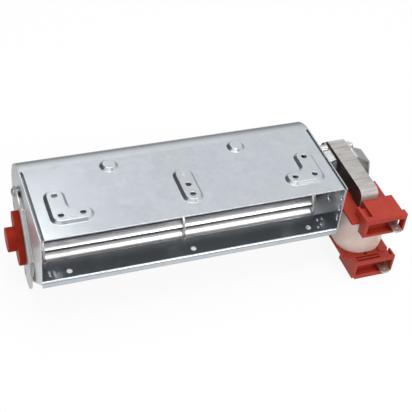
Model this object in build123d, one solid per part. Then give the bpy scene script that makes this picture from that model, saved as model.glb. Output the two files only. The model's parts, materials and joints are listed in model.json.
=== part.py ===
from build123d import *
from math import acos, atan2, cos, degrees, hypot, radians, sin
import os

# Cross flow fan: a folded sheet housing, a drum impeller and a shaded pole motor.
# Millimetres. X runs along the fan axis, Y from the outlet to the back, Z up. The origin is
# the centre of the four corner mounting holes, in the plane of the raised mounting pads.

# Housing sheet
housing_length = 196.0
sheet = 0.8
flat_depth = 61.0
outlet_height = 35.7
scroll_back_radius = 29.0
scroll_low_radius = 44.0
scroll_low_angle = 44.0
inlet_bend_radius = 1.6
inlet_lip = 3.2
inlet_lip_turn = 50.0
end_flange_drop = 8.0
end_bend_radius = 2.4
end_notch = 1.6

# Raised pads on the top sheet
pad_height = 1.8
pad_width = 13.4
pad_slope_angle = 48.0
pad_inner_fillet = 3.0
pad_end_setback = 15.4
pad_front_setback = 16.6
pad_hole_pitch_x = 13.5
pad_hole_pitch_y = 17.8
pad_hole_radius = 1.9
oval_length = 19.3
oval_hole_pitch = 9.1
dimple_radius = 6.0
dimple_spread = 42.9
dimple_setback = 55.9

# Outlet floor
floor_lip_drop = 4.6
tongue_place = 17.5
tongue_drop = 7.0
floor_bend_radius = 1.6
floor_hole_radius = 1.8
floor_hole_setback = 6.0
floor_hole_spread = 80.0

# Fan axis, measured from the front top edge of the sheet
axis_setback = 48.0
axis_depth = 42.0

# End plates
plate_rim_radius = 28.6
plate_foot_depth = 33.0
plate_foot_front = 6.0
plate_foot_back = 22.0
plate_foot_fillet = 2.5
dish_radius = 26.5
dish_depth = 2.4
dish_slope = 1.5
dish_bend_radius = 1.0
left_opening_radius = 18.5
right_opening_radius = 15.0
tab_width = 9.0
tab_setback = 3.4
tab_length = 14.0
left_hole_radius = 3.0
left_hole_setback = 67.0
left_hole_depth = 23.0
right_hole_radius = 2.0
right_hole_setback = 17.4
right_hole_depth = 23.2
right_slot_length = 5.4
right_slot_width = 2.0
right_slot_setback = 2.8
right_slot_first = 10.0
right_slot_pitch = 8.8

# Impeller
wheel_diameter = 60.0
wheel_left_gap = 4.5
wheel_right_gap = 8.0
disc_thickness = 1.0
ring_width = 1.5
ring_thickness = 0.8
blade_count = 24
blade_chord = 9.7
blade_arc_radius = 8.0
blade_thickness = 0.45
blade_lean = 46.5
blade_edge_gap = 0.5
blade_tab_chord = 3.0
blade_tab_reach = 0.9
disc_hole_radius = 4.0

# Left bearing
bridge_angle = 44.0
bridge_length = 66.4
bridge_width = 30.0
bridge_rise = 2.4
bridge_sheet = 1.0
bridge_bend_radius = 1.1
bridge_leg_width = 5.6
bridge_leg_place = 11.5
bridge_foot = 4.0
bridge_hole_radius = 2.1
bridge_hole_spread = 22.0
bridge_hole_shift = 10.2
bridge_window_radius = 6.2
rivet_radius = 1.0
rivet_offset = 2.6
rivet_head_radius = 1.7
rivet_head_height = 0.8
end_rivet_place = 29.2
end_rivet_radius = 1.5
end_rivet_head = 3.0
end_rivet_height = 1.8
holder_angle = 54.0
holder_length = 35.5
holder_width = 15.4
holder_thickness = 3.9
holder_boss_radius = 8.0
holder_boss_length = 5.7
holder_back_radius = 8.2
holder_back_thickness = 1.6
cap_wall = 1.4
bush_radius = 4.6
bush_length = 9.0

# Shafts and hubs
shaft_radius = 3.0
running_clearance = 0.04
end_float = 0.3
stub_end_gap = 0.8
limb_end_gap = 0.3
flange_radius = 8.5
flange_thickness = 1.2
hub_radius = 6.0
hub_length = 5.0
sleeve_radius = 4.4
shaft_overrun = 4.4

# Motor core
core_standoff = 16.7
core_thickness = 12.5
core_drop = 12.5
core_setback = 5.5
core_depth = 62.5
core_limb = 10.6
core_front_radius = 5.5
core_back_chamfer = 7.0
pole_reach = 19.6
bore_radius = 13.2
air_gap = 0.4
shading_place = 15.4
shading_slot = 2.2
shading_wire = 1.8
shading_angles = (105.0, 145.0)
rotor_ring_width = 3.2
rotor_ring_outer = 11.6
rotor_ring_inner = 7.6
rotor_bar_count = 17
rotor_bar_radius = 0.9
rotor_bar_place = 10.4

# Coil and bobbin
bobbin_width = 34.0
bobbin_depth = 35.0
bobbin_wall = 1.0
bobbin_flange = 1.7
coil_height = 30.0
coil_width = 33.4
coil_corner = 14.6
tape_thickness = 0.5
limb_clearance = 0.1

# Terminal blocks
block_left_inset = 5.6
block_width = 30.2
block_frame = 5.0
lid_inset = 1.9
block_reach = 7.0
block_depth = 20.0
block_rise = 6.5
block_drop = 6.5
core_gap = 0.3
lower_block_height = 12.8
pocket_left_wall = 2.4
pocket_right_wall = 1.4
pocket_low_wall = 2.0
pocket_height = 9.0
pocket_depth = 5.6
slot_wall = 1.9
slot_width = 4.2
slot_depth = 2.6
slot_front = 3.6
ledge_depth = 14.5
rib_pitch = 2.6
rib_gap = 1.3
rib_inset = 2.6
rib_length = 17.0
rib_depth = 2.4
ear_thickness = 1.4
ear_slot = 1.6
ear_web = 2.0
ear_depth = 7.6
foot_inset = 2.6
foot_length = 23.0
foot_drop = 1.7
wire_hole_place = 10.7
wire_hole_radius = 1.1
stud_radius = 2.6
stud_height = 1.0
stud_inset = 5.2
spade_width = 6.3
spade_thickness = 0.8
spade_reach = 5.4
spade_root = 1.1
spade_right_inset = 7.6
spade_height = 3.5
spade_hole_radius = 0.8
spade_hole_inset = 2.6
spade_chamfer = 1.2

# Motor brackets and bearings
bracket_sheet = 1.2
bracket_leg_width = 10.0
bracket_eye_radius = 12.0
bracket_bend_radius = 1.5
inner_reach = 9.6
outer_reach = 12.4
inner_knee_reach = 7.0
outer_knee_reach = 11.4
bracket_leg_rise = 28.4
inner_knee_rise = 26.6
outer_knee_rise = 23.0
bracket_seat_rise = 14.0
bracket_foot_rise = 21.0
bracket_foot_edge = 14.6
ball_radius = 5.5
ball_half_length = 3.8
dome_opening_radius = 4.0
clip_radius = 9.2
clip_sheet = 0.5
clip_shoulder = 6.75
clip_mouth = 4.85
clip_height = 3.0
bolt_offset = 10.6
bolt_rise = 24.8
bolt_radius = 1.9
bolt_clearance = 0.2
bolt_head_radius = 3.4
bolt_head_height = 2.4
nut_width = 5.5
nut_height = 2.8
bolt_spare = 2.2
spacer_radius = 3.4

# Places worked out from the sizes above
left_x = -housing_length / 2
right_x = housing_length / 2
front_y = -(pad_front_setback + pad_hole_pitch_y / 2)
top_z = -pad_height
axis_y = front_y + axis_setback
axis_z = top_z - axis_depth
floor_z = top_z - outlet_height
back_centre = (front_y + flat_depth, top_z - scroll_back_radius)
low_centre = (back_centre[0] + scroll_back_radius - scroll_low_radius, back_centre[1])
wheel_radius = wheel_diameter / 2
wheel_left = left_x + wheel_left_gap
wheel_right = right_x - wheel_right_gap
wheel_middle = (wheel_left + wheel_right) / 2
plate_bottom = axis_z - plate_foot_depth
plate_left_face = left_x - sheet
plate_right_face = right_x + sheet
strap_x = plate_left_face - bridge_rise
seat_x = plate_left_face + dish_depth
boss_end_x = strap_x - holder_thickness - holder_boss_length
pocket_floor_x = boss_end_x + cap_wall
core_x = right_x + core_standoff
core_end_x = core_x + core_thickness
core_top_z = top_z - core_drop
core_half_height = axis_depth - core_drop
core_front_y = front_y + core_setback
core_back_y = core_front_y + core_depth
rotor_radius = bore_radius - air_gap
coil_x = core_x + core_thickness / 2
coil_y = core_front_y + core_limb / 2
coil_half_height = coil_height / 2
bobbin_left = coil_x - bobbin_width / 2
bobbin_front = coil_y - bobbin_depth / 2 - limb_end_gap
block_x0 = bobbin_left + block_left_inset
block_x1 = block_x0 + block_width
block_y0 = bobbin_front - block_reach
block_back = block_y0 + block_depth
block_top = axis_z + coil_half_height + bobbin_flange + block_rise
block_low = axis_z + coil_half_height - block_drop
lower_block_top = axis_z - coil_half_height - bobbin_flange
lower_block_low = lower_block_top - lower_block_height
spade_x = block_x1 - spade_right_inset
inner_seat_x = core_x - inner_reach + bracket_sheet
outer_seat_x = core_end_x + outer_reach - bracket_sheet
bolt_y = axis_y + bolt_offset


def along_x(face, start, end):
    """Stretch a face drawn in Y and Z from one X to another."""
    return extrude(Plane.YZ.offset(start) * face, amount=end - start)


def along_y(face, start, end):
    """Stretch a face drawn in X and Z from one Y to another."""
    return extrude(Plane.XZ.offset(-start) * face, amount=start - end)


def bar(x0, x1, y0, y1, z0, z1):
    """A block between opposite corners."""
    centre = ((x0 + x1) / 2, (y0 + y1) / 2, (z0 + z1) / 2)
    return Pos(*centre) * Box(abs(x1 - x0), abs(y1 - y0), abs(z1 - z0))


def rod_x(radius, start, end, y=axis_y, z=axis_z):
    """A round bar along X, on the fan axis unless another place is given."""
    return Pos((start + end) / 2, y, z) * Rot(0, 90, 0) * Cylinder(radius, abs(end - start))


def tube_x(outer, inner, start, end, y=axis_y, z=axis_z):
    """A round tube along X."""
    return rod_x(outer, start, end, y, z) - rod_x(inner, start - sheet, end + sheet, y, z)


def rod_z(radius, x, y, low, high):
    """A round bar along Z."""
    return Pos(x, y, (low + high) / 2) * Cylinder(radius, high - low)


def on_axis(radius, angle):
    """Y and Z of a point at a radius and an angle round the fan axis."""
    return (axis_y + radius * cos(radians(angle)), axis_z + radius * sin(radians(angle)))


def folded(points, bend, thickness):
    """Section of a bent strip from its centre line."""
    return trace(FilletPolyline(*points, radius=bend), line_width=thickness)


def turned(face):
    """Turn a face drawn in X and radius round the fan axis."""
    placed = Plane.XZ.offset(-axis_y) * Pos(0, axis_z) * face
    return revolve(placed, Axis((0, axis_y, axis_z), (1, 0, 0)), 360)


def scroll_edges(inset):
    """The two arcs of the rolled back, at a depth inside the outer face."""
    upper = CenterArc(back_centre, scroll_back_radius - inset, 90, -90)
    lower = CenterArc(low_centre, scroll_low_radius - inset, 0, -scroll_low_angle)
    return upper, lower


def slot_face(start, end, width):
    """A round-ended bar between two centres, drawn in X and Y."""
    run = (end[0] - start[0], end[1] - start[1])
    angle = degrees(atan2(run[1], run[0]))
    place = Pos((start[0] + end[0]) / 2, (start[1] + end[1]) / 2)
    return place * Rot(0, 0, angle) * SlotOverall(hypot(*run) + width, width)


def corner_pad_face(width):
    """The L of the left mounting pad."""
    corner = (left_x + pad_end_setback, front_y + pad_front_setback)
    back = (corner[0], corner[1] + pad_hole_pitch_y)
    inward = (corner[0] + pad_hole_pitch_x, corner[1])
    face = slot_face(corner, back, width) + slot_face(corner, inward, width)
    inner = Vector(corner[0] + width / 2, corner[1] + width / 2)
    vertex = face.vertices().sort_by_distance(inner)[0]
    return fillet(vertex, pad_inner_fillet)


def pad_faces():
    """Pairs of base faces: the outside of each raised pad and the hollow underneath it."""
    widths = (pad_width, pad_width - 2 * sheet)
    oval_start = (0, front_y + pad_front_setback)
    oval_end = (0, oval_start[1] + oval_length)
    corner = [corner_pad_face(width) for width in widths]
    pairs = [[slot_face(oval_start, oval_end, width) for width in widths]]
    pairs.append(corner)
    pairs.append([mirror(face, about=Plane.YZ) for face in corner])
    for side in (-1, 1):
        place = Pos(side * dimple_spread, front_y + dimple_setback)
        pairs.append([place * Circle(radius) for radius in (dimple_radius, dimple_radius - sheet)])
    return pairs


def pad_hole_places():
    """X and Y of every hole in the raised pads."""
    row_y = front_y + pad_front_setback
    corner_x = right_x - pad_end_setback
    places = [(0, row_y), (0, row_y + oval_hole_pitch)]
    for side in (-1, 1):
        places.append((side * corner_x, row_y))
        places.append((side * corner_x, row_y + pad_hole_pitch_y))
        places.append((side * (corner_x - pad_hole_pitch_x), row_y))
    return places


def make_scroll_housing():
    """Top sheet with raised pads, down-turned end flanges and the rolled scroll."""
    middle = sheet / 2
    side_x = right_x - middle
    rim = top_z - end_flange_drop
    corners = [(-side_x, rim), (-side_x, top_z - middle), (side_x, top_z - middle), (side_x, rim)]
    channel = folded(corners, end_bend_radius - middle, sheet)
    body = along_y(channel, front_y, front_y + flat_depth)
    upper, lower = scroll_edges(middle)
    bend = JernArc(lower @ 1, lower % 1, inlet_bend_radius, inlet_lip_turn)
    lip = PolarLine(bend @ 1, inlet_lip, direction=bend % 1)
    body += along_x(trace([upper, lower, bend, lip], line_width=sheet), left_x, right_x)
    for side in (-1, 1):
        notch = (side * right_x, front_y + flat_depth)
        body -= rod_z(end_notch, *notch, top_z - end_flange_drop - sheet, top_z + sheet)
    for outer, inner in pad_faces():
        body += extrude(Pos(0, 0, top_z) * outer, amount=pad_height, taper=pad_slope_angle)
        body -= extrude(Pos(0, 0, top_z - sheet) * inner, amount=pad_height, taper=pad_slope_angle)
    for x, y in pad_hole_places():
        body -= rod_z(pad_hole_radius, x, y, top_z - 2 * sheet, sheet)
    return body


def make_outlet_floor():
    """Floor of the outlet with a rounded front lip and the tongue bent down behind."""
    middle = sheet / 2
    front = front_y + middle
    back = front_y + tongue_place - middle
    flat = floor_z - middle
    lip = (front, floor_z - floor_lip_drop)
    corners = [lip, (front, flat), (back, flat), (back, floor_z - tongue_drop)]
    body = along_x(folded(corners, floor_bend_radius - middle, sheet), left_x, right_x)
    hole_y = front_y + floor_hole_setback
    for x in (-floor_hole_spread, 0, floor_hole_spread):
        body -= rod_z(floor_hole_radius, x, hole_y, floor_z - 2 * sheet, floor_z + sheet)
    return body


def plate_outline():
    """Outline of an end plate: front edge, tangent to the rim, flat foot and scroll."""
    upper, lower = scroll_edges(0)
    top = (front_y, top_z)
    corner = (front_y, floor_z - 2 * sheet)
    centre = (axis_y, axis_z)
    run = (corner[0] - axis_y, corner[1] - axis_z)
    swing = degrees(atan2(run[1], run[0])) + degrees(acos(plate_rim_radius / hypot(*run)))
    tangent = on_axis(plate_rim_radius, swing)
    foot_back = (axis_y + plate_foot_back, plate_bottom)
    foot_front = (axis_y - plate_foot_front, plate_bottom)
    edges = [Line(top, upper @ 0), upper, lower, Line(lower @ 1, foot_back)]
    for start, end in ((foot_back, foot_front), (foot_front, centre), (centre, tangent),
                       (tangent, corner), (corner, top)):
        edges.append(Line(start, end))
    outline = make_face(edges) + Pos(*centre) * Circle(plate_rim_radius)
    feet = [outline.vertices().sort_by_distance(Vector(*foot))[0] for foot in (foot_back, foot_front)]
    return fillet(feet, plate_foot_fillet)


def make_end_plate(side):
    """Flat plate outside the flanges, with a tab folded in under the outlet floor."""
    body = along_x(plate_outline(), *sorted((side * right_x, side * plate_right_face)))
    middle = side * (right_x + sheet / 2)
    level = floor_z - 1.5 * sheet
    corners = [(middle, level + floor_lip_drop), (middle, level), (middle - side * tab_length, level)]
    start = front_y + tab_setback
    body += along_y(folded(corners, floor_bend_radius - sheet / 2, sheet), start, start + tab_width)
    return body


def make_left_end_plate():
    """Left plate: dished round the air opening, with rivet holes for the bearing bridge."""
    body = make_end_plate(-1)
    body -= rod_x(dish_radius + sheet, plate_left_face - sheet, left_x + dish_depth / 2)
    face = plate_left_face + sheet / 2
    well = face + dish_depth
    corners = [(face, dish_radius + 2 * sheet), (face, dish_radius), (well, dish_radius - dish_slope),
               (well, left_opening_radius)]
    body += turned(folded(corners, dish_bend_radius, sheet))
    hole_y = front_y + left_hole_setback
    body -= rod_x(left_hole_radius, plate_left_face - sheet, left_x + sheet, hole_y, top_z - left_hole_depth)
    for y, z in rivet_places():
        body -= rod_x(rivet_radius, seat_x - sheet, seat_x + 2 * sheet, y, z)
    return body - rod_x(end_rivet_radius, plate_left_face - sheet, left_x + sheet, *end_rivet_y_z())


def make_right_end_plate():
    """Right plate: round opening, two bolt holes and small slots near the outlet."""
    body = make_end_plate(1)
    near = right_x - sheet
    far = plate_right_face + sheet
    body -= rod_x(right_opening_radius, near, far)
    for rise in (-bolt_rise, bolt_rise):
        body -= rod_x(bolt_radius + bolt_clearance, near, far, bolt_y, axis_z + rise)
    hole_y = front_y + right_hole_setback
    body -= rod_x(right_hole_radius, near, far, hole_y, top_z - right_hole_depth)
    for step in range(3):
        place = (front_y + right_slot_setback, top_z - right_slot_first - step * right_slot_pitch)
        slot = Pos(*place) * Rot(0, 0, 90) * SlotOverall(right_slot_length, right_slot_width)
        body -= along_x(slot, near, far)
    return body


def bridge_plane(angle):
    """Plane across the fan axis whose X runs along the strap; its Z is the part's X."""
    along = (0, cos(radians(angle)), sin(radians(angle)))
    return Plane(origin=(0, axis_y, axis_z), x_dir=along, z_dir=(1, 0, 0))


def rivet_places():
    """Y and Z of the four rivets that hold the bearing bridge."""
    plane = bridge_plane(bridge_angle)
    across = bridge_width / 2 + rivet_offset
    places = []
    for u in (-bridge_leg_place, bridge_leg_place):
        for v in (-across, across):
            point = plane.from_local_coords(Vector(u, v, 0))
            places.append((point.Y, point.Z))
    return places


def make_bearing_bridge():
    """Round-ended strap across the left opening, standing on four bent legs."""
    strap = SlotOverall(bridge_length, bridge_width) - Circle(bridge_window_radius)
    strap -= Pos(end_rivet_place, 0) * Circle(end_rivet_radius)
    for side in (-1, 1):
        strap -= Pos(side * bridge_hole_spread, -bridge_hole_shift) * Circle(bridge_hole_radius)
    body = extrude(Pos(0, 0, strap_x) * strap, amount=bridge_sheet)
    middle = bridge_sheet / 2
    edge = bridge_width / 2
    corners = [(edge - bridge_foot, strap_x + middle), (edge - middle, strap_x + middle),
               (edge - middle, seat_x - middle), (edge + bridge_foot, seat_x - middle)]
    start = bridge_leg_place - bridge_leg_width / 2
    leg = along_x(folded(corners, bridge_bend_radius, bridge_sheet), start, start + bridge_leg_width)
    pair = leg + mirror(leg, about=Plane.XZ)
    body += pair
    body += mirror(pair, about=Plane.YZ)
    body = bridge_plane(bridge_angle) * body
    for y, z in rivet_places():
        body -= rod_x(rivet_radius, seat_x - 2 * bridge_sheet, seat_x + sheet, y, z)
    return body


def end_rivet_y_z():
    """Y and Z of the larger rivet at the upper end of the strap."""
    return on_axis(end_rivet_place, bridge_angle)


def make_bridge_rivets():
    """Four rivets through the bridge feet and a larger one through the end of the strap."""
    outside = seat_x - bridge_sheet
    inside = seat_x + sheet
    rivets = []
    for y, z in rivet_places():
        rivet = rod_x(rivet_radius, outside, inside, y, z)
        rivet += rod_x(rivet_head_radius, outside - rivet_head_height, outside, y, z)
        rivet += rod_x(rivet_head_radius, inside, inside + rivet_head_height, y, z)
        rivets.append(rivet)
    place = end_rivet_y_z()
    large = rod_x(end_rivet_radius, strap_x, left_x, *place)
    large += rod_x(end_rivet_head, strap_x - end_rivet_height, strap_x, *place)
    large += rod_x(end_rivet_head, left_x, left_x + rivet_head_height, *place)
    large += rod_x(end_rivet_head, strap_x + bridge_sheet, plate_left_face, *place)
    rivets.append(large)
    return Compound(children=rivets)


def make_bearing_holder():
    """Red moulded holder: oval flange, closed boss, neck through the strap and back disc."""
    stadium = Pos(0, 0, strap_x - holder_thickness) * SlotOverall(holder_length, holder_width)
    body = bridge_plane(holder_angle) * extrude(stadium, amount=holder_thickness)
    body += rod_x(holder_boss_radius, boss_end_x, strap_x - holder_thickness)
    back = strap_x + bridge_sheet
    body += rod_x(bridge_window_radius, strap_x - holder_thickness, back)
    body += rod_x(holder_back_radius, back, back + holder_back_thickness)
    body -= rod_x(bush_radius, pocket_floor_x, back + 2 * holder_back_thickness)
    return body


def make_left_bush():
    """Plain bush pressed into the holder."""
    bore = shaft_radius + running_clearance
    return tube_x(bush_radius, bore, pocket_floor_x, pocket_floor_x + bush_length)


def blade_face(chord):
    """Section of one blade, or of the narrower tab at its ends: a thin arc, drawn in Y and Z."""
    half = blade_chord / 2
    tip = wheel_radius - ring_thickness - blade_edge_gap
    lean = radians(blade_lean)
    centre = (tip ** 2 - (half * sin(lean)) ** 2) ** 0.5 - half * cos(lean)
    depth = (blade_arc_radius ** 2 - half ** 2) ** 0.5
    end = depth - (blade_arc_radius ** 2 - (chord / 2) ** 2) ** 0.5
    arc = ThreePointArc((-chord / 2, end), (0, depth - blade_arc_radius), (chord / 2, end))
    return Pos(centre, 0) * Rot(0, 0, blade_lean) * trace(arc, line_width=blade_thickness)


def make_impeller():
    """Drum of curved blades crimped into two end discs and a middle disc."""
    hole = Circle(disc_hole_radius)
    disc = Circle(wheel_radius) - hole
    ring = Circle(wheel_radius) - Circle(wheel_radius - ring_thickness)
    stations = (wheel_left, wheel_middle - disc_thickness / 2, wheel_right - disc_thickness)
    pieces = [place_on_axis(disc, x, x + disc_thickness) for x in stations]
    pieces.append(place_on_axis(ring, wheel_left, wheel_left + ring_width))
    pieces.append(place_on_axis(ring, wheel_right - ring_width, wheel_right))
    pieces.append(place_on_axis(ring, wheel_middle - ring_width / 2, wheel_middle + ring_width / 2))
    blade = place_on_axis(blade_face(blade_chord), wheel_left, wheel_right)
    tab = blade_face(blade_tab_chord)
    blade += place_on_axis(tab, wheel_left - blade_tab_reach, wheel_right + blade_tab_reach)
    axis = Axis((0, axis_y, axis_z), (1, 0, 0))
    for step in range(blade_count):
        pieces.append(blade.rotate(axis, 360 * step / blade_count))
    return pieces[0].fuse(*pieces[1:])


def place_on_axis(face, start, end):
    """Stretch a face drawn about the fan axis from one X to another."""
    return along_x(Pos(axis_y, axis_z) * face, start, end)


def make_left_stub_shaft():
    """Stub shaft with a flange on the left disc and a spigot in its hole."""
    body = rod_x(shaft_radius, pocket_floor_x + stub_end_gap, wheel_left)
    body += rod_x(flange_radius, wheel_left - flange_thickness, wheel_left)
    body += rod_x(disc_hole_radius, wheel_left, wheel_left + disc_thickness)
    return body


def make_drive_hub():
    """Hub on the right disc that carries the wheel on the motor shaft."""
    body = rod_x(disc_hole_radius, wheel_right - disc_thickness, wheel_right)
    body += rod_x(flange_radius, wheel_right, wheel_right + flange_thickness)
    body += rod_x(hub_radius, wheel_right, wheel_right + hub_length)
    body -= rod_x(shaft_radius, wheel_right - 2 * disc_thickness, wheel_right + 2 * hub_length)
    return body


def make_rotor_shaft():
    """Motor shaft from the wheel's right disc to the outer bearing."""
    return rod_x(shaft_radius, wheel_right - disc_thickness, outer_seat_x + shaft_overrun)


def rotor_bars(radius):
    """Cage bars of the rotor as plain rods of a given radius."""
    bars = []
    for step in range(rotor_bar_count):
        y, z = on_axis(rotor_bar_place, 360 * step / rotor_bar_count)
        bars.append(rod_x(radius, core_x, core_end_x, y, z))
    return bars


def make_rotor_core():
    """Laminated rotor with holes for the cage bars."""
    body = tube_x(rotor_radius, shaft_radius, core_x, core_end_x)
    return body.cut(*rotor_bars(rotor_bar_radius))


def make_rotor_cage():
    """Cast end rings joined by the bars through the rotor."""
    body = tube_x(rotor_ring_outer, rotor_ring_inner, core_x - rotor_ring_width, core_x)
    body += tube_x(rotor_ring_outer, rotor_ring_inner, core_end_x, core_end_x + rotor_ring_width)
    return body.fuse(*rotor_bars(rotor_bar_radius))


def make_rotor_sleeves():
    """Sleeves that keep the rotor between its two bearings."""
    inner = inner_seat_x + ball_half_length + end_float
    outer = outer_seat_x - ball_half_length - end_float
    first = tube_x(sleeve_radius, shaft_radius, inner, core_x)
    second = tube_x(sleeve_radius, shaft_radius, core_end_x, outer)
    return Compound(children=[first, second])


def shading_places(turn):
    """Y and Z of the two slots of the shading ring on one pole."""
    return [on_axis(shading_place, turn + angle) for angle in shading_angles]


def make_stator_stack():
    """Laminated C frame: pole block with the bore and two arms to the coil limb."""
    low = axis_z - core_half_height
    frame = bar(core_x, core_end_x, core_front_y, core_back_y, low, core_top_z)
    along = frame.edges().filter_by(Axis.X)
    frame = fillet(along.group_by(Axis.Y)[0], core_front_radius)
    frame = chamfer(frame.edges().filter_by(Axis.X).group_by(Axis.Y)[-1], core_back_chamfer)
    window_y = axis_y - pole_reach
    inner = core_half_height - core_limb
    frame -= bar(core_x, core_end_x, core_front_y - sheet, window_y, axis_z - inner, axis_z + inner)
    frame -= rod_x(bore_radius, core_x, core_end_x)
    for turn in (0, 180):
        for y, z in shading_places(turn):
            frame -= rod_x(shading_slot / 2, core_x, core_end_x, y, z)
    for rise in (-bolt_rise, bolt_rise):
        frame -= rod_x(bolt_radius + bolt_clearance, core_x, core_end_x, bolt_y, axis_z + rise)
    return frame


def make_coil_core():
    """Separate laminated limb that carries the coil."""
    inner = core_half_height - core_limb
    return bar(core_x, core_end_x, core_front_y, core_front_y + core_limb, axis_z - inner, axis_z + inner)


def make_shading_rings():
    """Copper loop through the two slots of each pole."""
    rings = []
    radius = shading_wire / 2
    for turn in (0, 180):
        places = shading_places(turn)
        ring = None
        for y, z in places:
            wire = rod_x(radius, core_x - shading_wire, core_end_x + shading_wire, y, z)
            ring = wire if ring is None else ring + wire
        for x in (core_x - shading_wire, core_end_x):
            loop = slot_face(*places, shading_wire)
            ring += along_x(loop, x, x + shading_wire)
        rings.append(ring)
    return Compound(children=rings)


def coil_face(inset):
    """Rounded square of the coil at a depth inside the tape, drawn in X and Y."""
    width = coil_width - 2 * inset
    return Pos(coil_x, coil_y) * RectangleRounded(width, width, coil_corner - inset)


def limb_face(spare):
    """Rectangle round the coil limb, drawn in X and Y."""
    return Pos(coil_x, coil_y) * Rectangle(core_thickness + 2 * spare, core_limb + 2 * spare)


def between(face, low, high):
    """Stretch a face drawn in X and Y from one height to another."""
    return extrude(Pos(0, 0, low) * face, amount=high - low)


def make_coil_winding():
    """Copper winding between the bobbin tube and the tape."""
    face = coil_face(tape_thickness) - limb_face(limb_clearance + bobbin_wall)
    return between(face, axis_z - coil_half_height, axis_z + coil_half_height)


def make_coil_tape():
    """Tape wrapped round the winding."""
    face = coil_face(0) - coil_face(tape_thickness)
    return between(face, axis_z - coil_half_height, axis_z + coil_half_height)


def block_hollows(low):
    """Spaces of a terminal block: the plug pocket and the seat of the spade."""
    pocket = bar(block_x0 + pocket_left_wall, block_x1 - pocket_right_wall,
                 block_y0 - sheet, block_y0 + pocket_depth, low, low + pocket_height)
    return pocket + spade_shape(low + spade_height)


def spade_shape(height):
    """Flat terminal tab seated in the back of its pocket."""
    half = spade_width / 2
    tip = block_y0 - spade_reach
    root = block_y0 + pocket_depth + spade_root
    low = height - spade_thickness / 2
    return bar(spade_x - half, spade_x + half, tip, root, low, low + spade_thickness)


def make_bobbin():
    """Moulded bobbin with both terminal blocks."""
    top = axis_z + coil_half_height
    low = axis_z - coil_half_height
    right = bobbin_left + bobbin_width
    back = bobbin_front + bobbin_depth
    body = between(limb_face(limb_clearance + bobbin_wall), low, top)
    body += bar(bobbin_left, right, bobbin_front, back, top, top + bobbin_flange)
    body += bar(bobbin_left, right, bobbin_front, back, low - bobbin_flange, low)
    lid_right = block_x1 - lid_inset
    body += bar(block_x0, lid_right, block_y0, block_back, top + bobbin_flange, block_top)
    body += bar(block_x0, block_x1, block_y0, block_y0 + block_frame, block_low, block_top)
    body += bar(block_x0, lid_right, block_y0, bobbin_front, block_low, block_top)
    lower_right = block_x1 - ear_thickness - ear_slot
    body += bar(block_x0, lower_right, block_y0, block_back, lower_block_low, lower_block_top)
    body += bar(block_x0, lower_right, block_y0, bobbin_front, lower_block_low, low)
    body += bar(lower_right, block_x1, block_y0, block_y0 + ear_depth, lower_block_low, low)
    split = (lower_right, block_x1 - ear_thickness, block_y0 + ear_web, block_y0 + ear_depth + sheet)
    body -= bar(*split, lower_block_low - sheet, low + sheet)
    groove = block_x0 + slot_wall
    slot = (groove, groove + slot_width, block_y0 + slot_front, block_back + sheet)
    body -= bar(*slot, block_top - slot_depth, block_top + sheet)
    ledge = (block_x0 - sheet, groove + slot_width, block_y0 + ledge_depth, block_back + sheet)
    body -= bar(*ledge, top + bobbin_flange, block_top + sheet)
    rib = block_x0 + rib_inset
    for step in (0, 1):
        start = block_y0 + rib_gap + step * rib_pitch
        body -= bar(rib, rib + rib_length, start, start + rib_gap, low - rib_depth, low + sheet)
    foot = (block_x0 + foot_inset, block_x0 + foot_inset + foot_length, block_y0, block_y0 + block_frame)
    body += bar(*foot, lower_block_low - foot_drop, lower_block_low)
    body -= rod_z(wire_hole_radius, block_x0 + wire_hole_place, bobbin_front, low - rib_depth, low + sheet)
    stud = (right - stud_inset, bobbin_front + wire_hole_radius)
    body += rod_z(stud_radius, *stud, low, low + stud_height)
    arm = (core_x - core_gap, core_end_x + core_gap, core_front_y - core_gap, back)
    arm_low = core_half_height - core_limb - core_gap
    body -= bar(*arm, axis_z + arm_low, block_top + sheet)
    body -= bar(*arm, lower_block_low - sheet, axis_z - arm_low)
    body -= between(limb_face(limb_clearance), lower_block_low, block_top)
    for place in pocket_lows():
        body -= block_hollows(place)
    return body


def pocket_lows():
    """Floor heights of the two plug pockets."""
    return (block_low + pocket_low_wall, lower_block_low + pocket_low_wall)


def make_spade(height):
    """Spade terminal with a chamfered tip and a locking hole."""
    body = spade_shape(height)
    tip = body.edges().filter_by(Axis.Z).group_by(Axis.Y)[0]
    body = chamfer(tip, spade_chamfer)
    hole_y = block_y0 - spade_reach + spade_hole_inset
    return body - rod_z(spade_hole_radius, spade_x, hole_y, height - sheet, height + sheet)


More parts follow.
